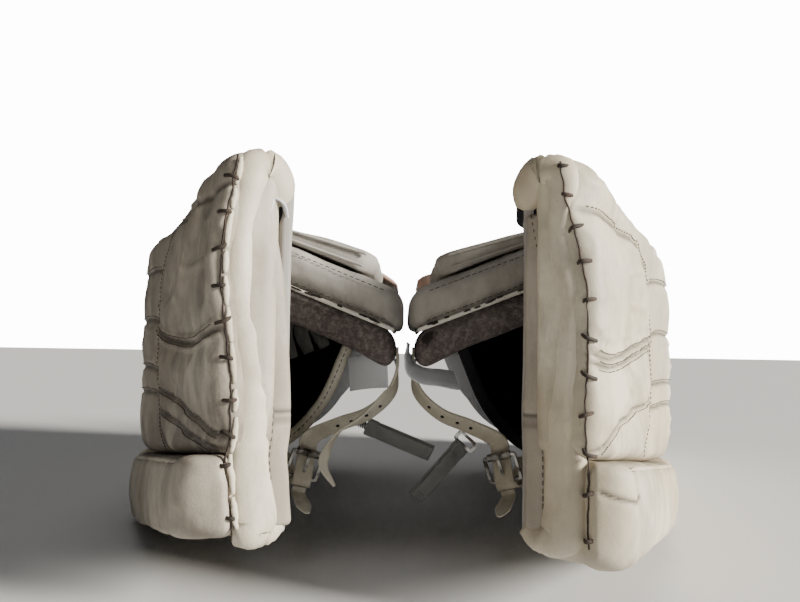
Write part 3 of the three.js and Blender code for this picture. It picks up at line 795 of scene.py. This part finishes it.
def make_shin(side):
    for i in range(3):
        near = 0.3 + i * ROLL_WIDTH
        p, out, faces = block((12, near, 75), (70, (i + 1) * ROLL_WIDTH - 0.3, 315), 13, 4.5)
        front = np.clip((p[:, 0] - 12) / 58, 0, 1)
        facing = outward(out, 0)
        v = (p[:, 2] - 75) / 240
        relief = 1.6 * noise(p, 30, 101 + i + SEED[side]) + 0.7 * noise(p, 11, 105)
        split = splits(p[:, 2], (137, 165, 212, 262), 2.4)
        across = (p[:, 1] - near) / ROLL_WIDTH
        p[:, 0] += front * (7 + relief - 3.2 * split * facing - 80 * np.abs(v - 0.47) ** 3)
        p[:, 1] -= KNEE_MITRE * p[:, 0] * (1 - across) * (i == 0)
        add(f"knee_roll_{i + 1}_leather", (shin_place(p), faces), side, WHITE, "pad",
            [f"knee_roll_{i + 1}"], 0.8 * split * front * facing, 0.3 * front)
    p, out, faces = block((12, 142, 75), (73, SHIN, 316), 14, 5.0)
    front = outward(out, 0)
    split = splits(p[:, 2], ROLL_SPLITS, 3.0)
    swell = np.abs(np.sin(np.pi * (p[:, 2] - 75) / 58))
    p[:, 0] += front * (4 * swell - 5.5 * split + 1.4 * noise(p, 32, 111 + SEED[side]))
    p[:, 1] -= p[:, 0] * ANKLE_MITRE * step(p[:, 1], 330, SHIN)
    add("shin_face_leather", (shin_place(p), faces), side, WHITE, "pad", ["shin_face"],
        0.8 * split * front, 0.25 * front)
    p, out, faces = block((10, 0, 0), (80, SHIN, 74), 12, 5.0)
    front = outward(out, 0)
    p[:, 0] += 3 * front * np.sin(np.pi * p[:, 2] / 74) + 1.4 * noise(p, 36, 121 + SEED[side]) * front
    knee, ankle = 1 - step(p[:, 1], 0, 60), step(p[:, 1], 330, SHIN)
    p[:, 1] -= p[:, 0] * KNEE_MITRE * knee + p[:, 0] * ANKLE_MITRE * ankle
    add("shin_outer_roll_leather", (shin_place(p), faces), side, WHITE, "pad",
        ["shin_outer_roll"], None, 0.4 + 0.5 * (1 - step(p[:, 2], 0, 18)))
    # black lining of the leg channel, hanging in soft folds
    p, out, faces = block((-7, 40, 92), (-0.6, 344, 292), 2.4, 6.0)
    sway = 2.5 + 2.5 * np.sin(p[:, 2] / 13 + 0.8 * noise(p, 60, 3))
    p[:, 0] -= sway * outward(out, 0, -1) * bump(p[:, 2], 192, 90)
    add("channel_lining", (shin_place(p), faces), side, BLACK, "pad", ["channel_liner"])


def boot_outline(p, tip):
    """Pulls a lattice's far end in to the rounded toe."""
    t, z = p[:, 1], p[:, 2]
    corner = 55 * step(z, 245, 330) + 26 * (1 - step(z, 0, 55))
    reach = BOOT - corner * 0.9
    p[:, 1] = np.where(t > 40, 40 + (t - 40) * (reach - 40) / (BOOT - 40), t)
    p[:, 0] -= tip * step(t, 110, BOOT) * np.clip((p[:, 0] - 10) / 60, 0, 1)
    return p


def make_boot(side):
    p, out, faces = block((12, 0.4, 1), (74, BOOT, 317), 14, 5.0)
    front = outward(out, 0)
    split = splits(p[:, 2], (74, *ROLL_SPLITS), 3.0)
    p = boot_outline(p, 16)
    p[:, 0] += front * (1.5 * noise(p, 34, 131 + SEED[side]) - 4.5 * split)
    p[:, 1] += p[:, 0] * ANKLE_MITRE * (1 - step(p[:, 1], 0, 60))
    add("boot_face_leather", (p, faces), side, WHITE, "boot", ["boot_face"],
        0.8 * split * front, 0.3 + 0.5 * step(p[:, 1], 120, 200))
    p, out, faces = block((0.4, 0.4, 2), (11.5, BOOT - 1, 316), 4, 7.0)
    add("boot_back_cloth", (boot_outline(p, 0), faces), side, BACK, "boot", ["boot_back"])
    # soft leather gusset that closes the ankle break
    p, out, faces = block((14, -16, 8), (66, 20, 310), 6, 6.0)
    s = p[:, 1].copy()
    shin = shin_place(np.stack([p[:, 0], SHIN + s - p[:, 0] * ANKLE_MITRE, p[:, 2]], 1))
    boot = boot_place(np.stack([p[:, 0], s + p[:, 0] * ANKLE_MITRE, p[:, 2]], 1))
    w = step(s, -12, 14)[:, None]
    bodies = ("pad", "boot", (SHIN_X, ANKLE_Y - 14, 160), (SHIN_X, ANKLE_Y + 14, 160))
    add("ankle_gusset", (shin * (1 - w) + boot * w, faces), side, GREY, bodies)


# ---- the leg side
WING_ROOT = 205
TOP_SLAB = 36  # from the wing's top down to the suede, across the slab
FLAP_ROOT = 125


def wing_top(x, depth=0):
    """The height of the wing's top, or of a line so deep below it."""
    return 244 + (x - 4.5) * math.tan(WING_ANGLE) - depth / math.cos(WING_ANGLE)


def wing_fit(p, inset):
    """Narrows a wing's root where the rise slants away from the leg."""
    root = THIGH_X + p[:, 1] * math.tan(RISE_ANGLE) - inset
    narrow = 1 - (WING_ROOT - root) / WING_ROOT * step(p[:, 0], 60, WING_ROOT)
    return np.where(p[:, 1] < KNEE_Y, np.minimum(1, narrow), 1)


def flap_place(p):
    c, s = math.cos(math.radians(15.5)), math.sin(math.radians(15.5))
    z = wing_top(FLAP_ROOT) + 0.6 + p[:, 0] * s + p[:, 2] * c
    return np.stack([FLAP_ROOT + p[:, 0] * c - p[:, 2] * s, p[:, 1], z], 1)


def make_wing(side):
    seed = 150 + SEED[side]

    # upper slab of grey leather
    p, out, faces = block((2.0, 110, -35), (WING_ROOT, 290, 0), 13, 3.0)
    depth = p[:, 2].copy()
    x = p[:, 0] + 3 * (1 - step(p[:, 0], 4, 30)) * bump(p[:, 1], 110, 12)
    x = x * wing_fit(p, 7.5)
    relief = 1.5 * noise(p, 34, seed) + 0.8 * noise(p, 12, seed + 1)
    z = np.minimum(wing_top(x, -depth) + relief * out[:, 2], WIDTH - 2)
    bulge = 1.6 * np.sin(np.pi * np.clip(-depth / 35, 0, 1))
    y = p[:, 1] + (relief * 0.8 + bulge) * out[:, 1]
    wear = 0.9 * bump(depth, -33, 8) + 0.35 + 0.5 * bump(depth, -2, 6)
    add("knee_wing_leather", (np.stack([x, y, z], 1), faces), side, GREY, "knee_wing",
        ["knee_wing"], None, wear)

    # lower pad faced in suede
    p, out, faces = block((10, 112, -31), (WING_ROOT, 289, 0), 14, 3.0)
    depth = p[:, 2].copy()
    x = p[:, 0] * wing_fit(p, 9)
    deeper = 1 + 0.15 * (1 - step(x, 10, 60))
    z = wing_top(x, TOP_SLAB - depth * deeper) + 1.5 * noise(p, 28, seed + 2) * out[:, 2]
    y = p[:, 1] + 1.4 * noise(p, 20, seed + 3) * out[:, 1]
    torn = np.zeros(len(p))
    if side == "right":
        torn = bump(x, 20, 7.5) ** 2 * bump(depth, -9, 6.5) ** 2 * outward(out, 1, -1)
        torn = step(torn * (1 + 0.35 * noise(p, 4, 9)), 0.12, 0.3)
    add("wing_suede", (np.stack([x, y + 1.6 * torn, z], 1), faces), side, SUEDE, "knee_wing",
        ["knee_wing_suede"], torn, None)

    # white piping between the two, worn through to black in places, and a stitched line on each edge
    xs = np.linspace(THIGH_X + 112 * math.tan(RISE_ANGLE) - 12, 18, 70)
    flat = np.ones(70)
    line = np.stack([xs, 109.6 * flat, wing_top(xs, TOP_SLAB + 0.2)], 1)
    tip = [(13.5, 113, wing_top(13, TOP_SLAB)), (12.6, 125, wing_top(12, TOP_SLAB)),
           (12.6, 270, wing_top(12, TOP_SLAB))]
    line = np.vstack([line, smooth([line[-1], *tip], 30)[1:]])
    add("wing_piping", sweep(line, (0, 0.3, 1), round_section(2.0, 2.0, 9)), side, PIPING, "knee_wing")
    upper = np.stack([xs + 2, 109.0 * flat, wing_top(xs, 5.5)], 1)
    lower = np.stack([xs, 108.6 * flat, wing_top(xs, 31.0)], 1)
    rows = [stitches(row, 6, 3.6, 0.45, (0, -1, 0), number) for row, number in ((upper, 3), (lower, 5))]
    add("wing_stitching", joined(rows), side, THREAD, "knee_wing")
    rng = np.random.default_rng(17 + SEED[side])
    marks = []
    for at in rng.uniform(14, 118, 12):
        q = np.linspace(at, at + rng.uniform(3, 11), 6)
        mark = np.stack([q, np.full(6, 107.9), wing_top(q, 35.2) + rng.uniform(-1, 1.5)], 1)
        marks.append(sweep(mark, (0, 0, 1), round_section(1.1, 0.7, 6), [0.3, 0.9, 1, 0.8, 1, 0.3]))
    add("wing_wear_marks", joined(marks), side, DARK_WEAR_AND_HOLE_SHADE, "knee_wing")

    # flap on top, thinner underneath towards its free edge
    wedge = lambda a, depth: (
        depth - 8.5 * np.clip(-a / 100, 0, 1) ** 1.2 * np.clip(1 - depth / 12.5, 0, 1))
    near, radius = 117, 26
    p, out, faces = block((-100, near, 0.6), (-7, 283, 12.5), 5.5, 3.2)
    p[:, 2] = wedge(p[:, 0], p[:, 2])
    corner = np.clip(near + radius - p[:, 1], 0, radius) / radius
    corner = radius * (1 - np.sqrt(np.clip(1 - corner**2, 0, 1)))
    p[:, 0] += np.where(p[:, 0] < -50, corner * step(-p[:, 0], 50, 100), 0)
    arch = 1.5 * np.sin(np.pi * np.clip((p[:, 0] + 100) / 100, 0, 1))
    p[:, 2] += (1.2 * noise(p, 30, seed + 5) + arch) * outward(out, 2)
    p[:, 1] += 0.9 * noise(p, 18, seed + 6) * out[:, 1]
    add("wing_flap_leather", (flap_place(p), faces), side, GREY, "wing_flap",
        ["wing_flap"], None, 0.3 + 0.7 * bump(p[:, 2], 11, 3))
    edges = []
    for depth in (3.2, 10.6):
        a = np.linspace(-12, -88, 40)
        edge = flap_place(np.stack([a, np.full(40, near - 0.3), wedge(a, depth)], 1))
        edges.append(sweep(edge, (0, 0, 1), round_section(1.3, 1.3, 8)))
    add("flap_piping", joined(edges), side, GREY, "wing_flap")


LATERAL = [(208, 82), (165, 79), (120, 96), (85, 134), (60, 191)]
MEDIAL = {
    "left": [(208, 304), (115, 300), (48, 287), (11, 268)],
    "right": [(208, 304), (115, 300), (40, 288), (16, 281)],
}


def make_wraps(side):
    def settle(s, y):
        drift = 2.2 * np.sin(y / 47 + 5 * s) * np.sin(np.pi * s)
        return np.stack([drift * 0.6, 0 * s, drift], 1)

    points, faces, outside = layer(LATERAL, 200, 560, 9, 7.0, settle)
    obj = add("lateral_wrap_cloth", (points, faces), side, [NYLON, BLACK], "pad",
              ["lateral_wrap"])
    inner = [int(k >= outside) for k in range(len(obj.data.polygons))]
    obj.data.polygons.foreach_set("material_index", inner)
    # binding round the near edge of the wrap: stitched leather on the left, black on the right
    run = smooth([(196, 79), *LATERAL[1:]], 60)
    lip = np.stack([run[:, 0], np.full(60, 197.6), run[:, 1]], 1)
    left = side == "left"
    along = np.gradient(run, axis=0)
    across = np.stack([-along[:, 1], 0 * along[:, 0], along[:, 0]], 1)
    add("wrap_edge", sweep(lip, across, round_section(6.2, 4.2, 12)), side,
        STRAP if left else BLACK, "pad", ["wrap_binding"] if left else [], None,
        np.full(60 * 12, 0.4))
    if left:
        row = lip + np.array([0, -4.3, 0])
        add("wrap_edge_stitching", stitches(row, 6, 3.4, 0.45, (0, -1, 0), 5), side, THREAD, "pad")
    # medial wrap
    sag = 2 if left else 24
    droop = lambda s, y: np.stack([0 * s, 0 * s, -sag * s * bump(y, 296, 50)], 1)
    points, faces, _ = layer(MEDIAL[side], 296, 560, 8, 7.0, droop)
    add("medial_wrap_leather", (points, faces), side, TAN, "medial_wrap",
        ["medial_wrap"])
    # painted shade: a gathered black sheet closes the channel at the ankle end, standing for the shade deep
    # inside it
    p, out, faces = block((66, 556, 70), (207, 561, 300), 2, 5.0)
    turn = np.array(sorted(LATERAL))
    low = np.interp(p[:, 0], turn[:, 0], turn[:, 1]) - 2.5
    p[:, 2] = low + (p[:, 2] - 70) / 230 * (298 - low)
    gather = 7 * np.sin(p[:, 0] / 5.5 + 1.3 * noise(p, 50, 6)) * bump(p[:, 2], 190, 110)
    p[:, 1] += gather + 5 * noise(p, 30, 7)
    add("ankle_channel_shade", (p, faces), side, BLACK, "pad")
    # soft folds of the channel's lining
    folds = []
    for i in range(3):
        if left:
            x, low = 142 - 19 * i, 176 + 7 * i
            line = [(x, 308, 262), (x - 3, 305, 238), (x + 3, 303, (low + 238) / 2), (x - 8, 301, low)]
        else:
            x, y = 196 - 15 * i, 12 * i
            line = [(x, 318 + 14 * i, 94), (x - 5, 312 + y, 140), (x + 1, 322 + y, 190),
                    (x - 3, 316 + y, 258)]
        girth = 0.55 + 0.45 * np.sin(np.linspace(0.3, 2.8, 30))
        folds.append(sweep(smooth(line, 30), (1, 0.25, 0), round_section(10, 4, 14), girth))
    add("channel_folds", joined(folds), side, FOLD[side], "pad")


def make_straps(side):
    # the buckle: its middle, the line of the strap through it, the way it faces and its bars
    line = np.array([0.3, 0, -0.954])
    line /= np.linalg.norm(line)
    facing = np.array([-0.35, -0.9, 0.0])
    facing -= line * (facing @ line)
    facing /= np.linalg.norm(facing)
    bars = np.cross(line, facing)
    centre = np.array([97, 165, 75.0])
    at = lambda along, out: centre + along * line + out * facing
    bar = 12.3
    pin = 1.7 * math.sqrt(2) + 0.35
    fold = pin + 2.2
    behind, over = -(pin + 1 + 1.5 + 2.8), fold + 1.5 + 0.9

    def strap(name, points, widths, width, thick, count, node, point=0.0):
        both = smooth(np.hstack([np.array(points, float), 0.01 * np.array(widths, float)]), count)
        path, wide = both[:, :3], both[:, 3:]
        past = np.clip((np.linspace(0, 1, count) - (1 - point)) / max(point, 1e-6), 0, 1)
        shape = sweep(path, wide, flat_section(width, thick), 1 - 0.75 * past**1.4)
        wear = np.full(len(shape[0]), 0.5)
        add(name, shape, side, STRAP, "pad", [node], None, wear)
        return path, wide

    across = (0, 1, 0)
    b = tuple(bars)
    path, wide = strap(
        "knee_strap_leather",
        [(8, 169.5, 192), (8, 169.5, 170), (14, 169, 146), (36, 168.5, 126), (64, 169, 115),
         at(-27, behind), at(-bar, behind), at(0, 0), at(bar, over), at(bar + 6, over)],
        [across, across, (-0.43, 0.85, -0.25), (-0.33, 0.75, -0.57), (-0.26, 0.66, -0.70), b, b, b, b, b],
        19, 3, 120, "knee_strap")
    # punched holes: dark plugs fill them as painted shade
    holes = []
    for i in (40, 50, 60, 69):
        p, w = path[i], wide[i] / np.linalg.norm(wide[i])
        along = path[i + 1] - path[i - 1]
        along /= np.linalg.norm(along)
        normal = np.cross(along, w)
        holes.append(sweep([p - normal * 1.75, p + normal * 1.75], w, round_section(1.9, 1.9, 12)))
    add("strap_holes", joined(holes), side, DARK_WEAR_AND_HOLE_SHADE, "pad")
    strap("strap_tail_leather", [at(bar + 7.2, over), at(bar + 13, over + 2), (94, 132, 47), (84, 100, 45)],
          [b, b, (-1, 0, -0.1), (-1, 0, 0)], 14, 2.6, 30, "strap_tail", 0.35)
    strap("chape_leather",
          [at(bar + 1, over - 2.2), at(bar + fold - 0.4, 0.4), (104, 172, 56), (116, 188, 59),
           (128, 207, 79)],
          [b, b, b, (-0.8, 0.6, 0), (-0.8, 0.5, -0.2)], 19, 3.4, 30, "chape")
    if side == "left":
        strap("thin_strap_leather",
              [(18, 150, 150), (40, 148, 126), (64, 147, 108), (76, 140, 82), (64, 131, 62)],
              [across, across, (-0.2, 1, 0), (-0.9, 0.5, 0), (-1, 0.1, 0.3)], 11, 2, 60, "thin_strap", 0.3)

    # smooth nylon webbing round the middle, and a wider piece above it
    path = smooth([(62, 194, 194), (36, 194, 187), (14, 194, 182), (8, 194, 166), (15, 194, 146)], 60)
    add("nylon_webbing", sweep(path, (0, 1, 0), flat_section(22, 2.4)), side, NYLON, "pad",
        ["nylon_loop"])
    if side == "right":
        path = smooth([(2.6, 147, 196), (2.4, 146, 184), (6, 146, 172), (17, 147, 165), (34, 150, 163),
                       (50, 160, 160)], 50)
        shape = sweep(path, (0.1, 0.72, 0.69), flat_section(22, 1.8))
    else:
        path = smooth([(17.5, 158, 169), (30, 164, 168), (44, 173, 166), (57, 185, 163)], 40)
        shape = sweep(path, (0, 0, 1), flat_section(34, 1.8))
    add("wide_webbing", shape, side, NYLON, "pad")

    # hook strap: doubled webbing, on a coil spring (left) or a wire loop (right)
    x, y, z, turn = (36, 189.5, 110, -0.38) if side == "left" else (58, 184, 93, -0.85)
    c, s = math.cos(turn), math.sin(turn)
    place = lambda q: np.stack(
        [x + q[:, 0] * c + q[:, 2] * s, y + q[:, 1], z - q[:, 0] * s + q[:, 2] * c], 1)
    parts = []
    for off in (-1.5, 1.5):
        q = smooth([(3, 0, off * 0.4), (-8, 0, off), (-40, 0, off * 1.2), (-69, 0, off)], 30)
        parts.append(sweep(q, (0, 1, 0), flat_section(20, 2.2)))
    cap, _, cap_faces = block((-9, -10.6, -3.2), (3, 10.6, 3.2), 1.6, 4)
    parts.append((cap, cap_faces))
    for row in (-12, -15, -62):
        parts.append(stitches([(row, -9, -2.9), (row, 9, -2.9)], 4.4, 3, 0.5, (0, 0, -1)))
    points, faces = joined(parts)
    roll = math.radians(-50)
    cr, sr = math.cos(roll), math.sin(roll)
    points = points @ np.array([[1, 0, 0], [0, cr, sr], [0, -sr, cr]])
    add("hook_strap_webbing", (place(points), faces), side, WEB, "hook_strap", ["hook_strap"])
    if side == "left":
        turns = np.linspace(0, 9 * 2 * math.pi, 260)
        q = np.stack([2 + turns / turns[-1] * 20, 3.4 * np.cos(turns), 3.4 * np.sin(turns)], 1)
        points, faces = sweep(q, (1, 0, 0), round_section(0.75, 0.75, 7))
        add("hook_spring_coil", (place(points), faces), side, METAL, "hook_strap",
            ["hook_spring"])


# ---- build both sides
for side in ("left", "right"):
    make_face(side)
    make_outer_roll(side)
    make_edge_roll(side)
    make_end(side)
    make_lacing(side)
    make_back(side)
    make_shin(side)
    make_boot(side)
    make_wing(side)
    make_wraps(side)
    make_straps(side)

# ---- camera, light and floor
KEY_AIM = (-0.89, 0.29, -0.31)
FILL_PLACE, FILL_TARGET = (0.12, -1.85, 0.16), (0.0, -0.2, 0.12)
EYE = (-0.0017, -0.4874 - ORIGIN_Y / 1000, 0.1935)
YAW, PITCH, ROLLED = math.radians(-0.39), math.radians(3.88), math.radians(0.94)

bpy.ops.mesh.primitive_plane_add(size=30, location=(0, 0, -0.0005))
floor = bpy.context.object
floor.name = "floor"
floor.data.materials.append(plain("floor_paint", (0.70, 0.70, 0.70), 0.9))

world = bpy.data.worlds.new("studio")
bpy.context.scene.world = world
world.use_nodes = True
nodes, links = world.node_tree.nodes, world.node_tree.links
seen = nodes.new("ShaderNodeLightPath")
strength = nodes.new("ShaderNodeMapRange")
strength.inputs["To Min"].default_value = 0.06
strength.inputs["To Max"].default_value = 14.0
links.new(seen.outputs["Is Camera Ray"], strength.inputs["Value"])
links.new(strength.outputs["Result"], nodes["Background"].inputs["Strength"])
nodes["Background"].inputs["Color"].default_value = (1, 1, 1, 1)


def placed(name, data):
    obj = bpy.data.objects.new(name, data)
    bpy.context.collection.objects.link(obj)
    return obj


def lamp(name, kind, energy, aim, **settings):
    light = bpy.data.lights.new(name, kind)
    light.energy = energy
    for setting, value in settings.items():
        setattr(light, setting, value)
    obj = placed(name, light)
    obj.rotation_euler = Vector(aim).to_track_quat("-Z", "Y").to_euler()
    return obj


lamp("key", "SUN", 10.5, KEY_AIM, angle=math.radians(16), color=(1.0, 0.955, 0.87))
fill = lamp("fill", "SPOT", 40, Vector(FILL_TARGET) - Vector(FILL_PLACE), spot_size=math.radians(8.4),
            spot_blend=1.0, shadow_soft_size=0.25)
fill.location = FILL_PLACE
lamp("overhead", "SUN", 0.4, (0, 0, -1), angle=math.radians(40))

camera = bpy.data.cameras.new("camera")
camera.lens = 29.51
camera.sensor_width = 36
eye = placed("camera", camera)
ahead = Vector((math.sin(YAW) * math.cos(PITCH), math.cos(YAW) * math.cos(PITCH), math.sin(PITCH)))
level = Vector((math.cos(YAW), -math.sin(YAW), 0))
upright = level.cross(ahead)
right = level * math.cos(ROLLED) + upright * math.sin(ROLLED)
up = upright * math.cos(ROLLED) - level * math.sin(ROLLED)
eye.matrix_world = Matrix.Translation(EYE) @ Matrix((right, up, -ahead)).transposed().to_4x4()
bpy.context.scene.camera = eye
